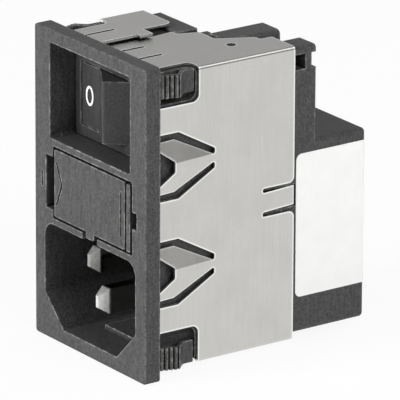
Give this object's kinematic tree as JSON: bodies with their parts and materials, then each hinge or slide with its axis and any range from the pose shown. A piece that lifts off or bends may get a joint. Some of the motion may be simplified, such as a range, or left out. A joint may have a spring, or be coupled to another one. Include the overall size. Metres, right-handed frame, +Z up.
{
  "type": "iec line filter",
  "caption": "Snap-in panel appliance inlet with mains filter, fuse drawer and rocker switch behind one flange, in a folded metal screening can.",
  "frame": {"origin": "centre of the panel cut-out, on the plane of the flange's back face", "axes": "-Y is the front that the user sees, +Y runs back through the panel, +X is the right-hand side seen from the front and +Z is up, with the switch above the inlet"},
  "size_m": [0.0298, 0.0507, 0.0502],
  "materials": {
    "housing_plastic": "fine moulded texture",
    "switch_plastic": "smooth moulded",
    "plated_sheet": "tin-plated rolled sheet",
    "nickel_pin": "nickel-plated brass",
    "contact_brass": "rolled brass",
    "spring_steel": "drawn wire",
    "fuse_glass": "clear tube",
    "fuse_wire": "tinned wire",
    "board_laminate": "phenolic paper laminate",
    "ferrite": "sintered ferrite",
    "enamelled_copper": "enamelled wire",
    "capacitor_case": "moulded film capacitor",
    "ceramic_disc": "dipped disc",
    "resistor_body": "lacquered body",
    "label_film": "white label, blank"
  },
  "bodies": {
    "housing": {"front_housing": "housing_plastic", "rear_housing": "housing_plastic", "switch_base": "switch_plastic", "shield": "plated_sheet", "rating_label": "label_film", "line_pin": "nickel_pin", "neutral_pin": "nickel_pin", "earth_pin": "nickel_pin", "load_terminal_line": "nickel_pin", "load_terminal_neutral": "nickel_pin", "earth_terminal": "nickel_pin", "switch_supply_blades": "contact_brass", "switch_load_blades": "contact_brass", "line_fuse_contact": "contact_brass", "neutral_fuse_contact": "contact_brass", "front_fuse_contacts": "contact_brass", "filter_board": "board_laminate", "choke_core": "ferrite", "choke_winding_line": "enamelled_copper", "choke_winding_neutral": "enamelled_copper", "x_capacitor": "capacitor_case", "y_capacitors": "ceramic_disc", "bleed_resistor": "resistor_body"},
    "rocker": {"rocker": "switch_plastic", "contact_plungers": "switch_plastic", "plunger_springs": "spring_steel"},
    "line_lever": {"contact_lever_line": "contact_brass"},
    "neutral_lever": {"contact_lever_neutral": "contact_brass"},
    "drawer": {"fuse_drawer": "housing_plastic", "fuse_tubes": "fuse_glass", "fuse_caps": "nickel_pin", "fuse_wires": "fuse_wire"}
  },
  "joints": [
    {"name": "rocker_tilt", "type": "hinge", "parent": "housing", "child": "rocker", "pos_m": [0, 0.0056, 0.01455], "axis": [0, 0, 1], "range_deg": [-21, 0]},
    {"name": "line_lever_rock", "type": "hinge", "parent": "housing", "child": "line_lever", "pos_m": [0, 0.01385, 0.01235], "axis": [0, 0, 1], "range_deg": [0, 12]},
    {"name": "neutral_lever_rock", "type": "hinge", "parent": "housing", "child": "neutral_lever", "pos_m": [0, 0.01385, 0.01675], "axis": [0, 0, 1], "range_deg": [0, 12]},
    {"name": "drawer_slide", "type": "slide", "parent": "housing", "child": "drawer", "axis": [0, -1, 0], "range_m": [0, 0.022]}
  ],
  "couplings": [
    {"joint": "line_lever_rock", "follows": "rocker_tilt", "ratio": -0.57},
    {"joint": "neutral_lever_rock", "follows": "rocker_tilt", "ratio": -0.57}
  ]
}
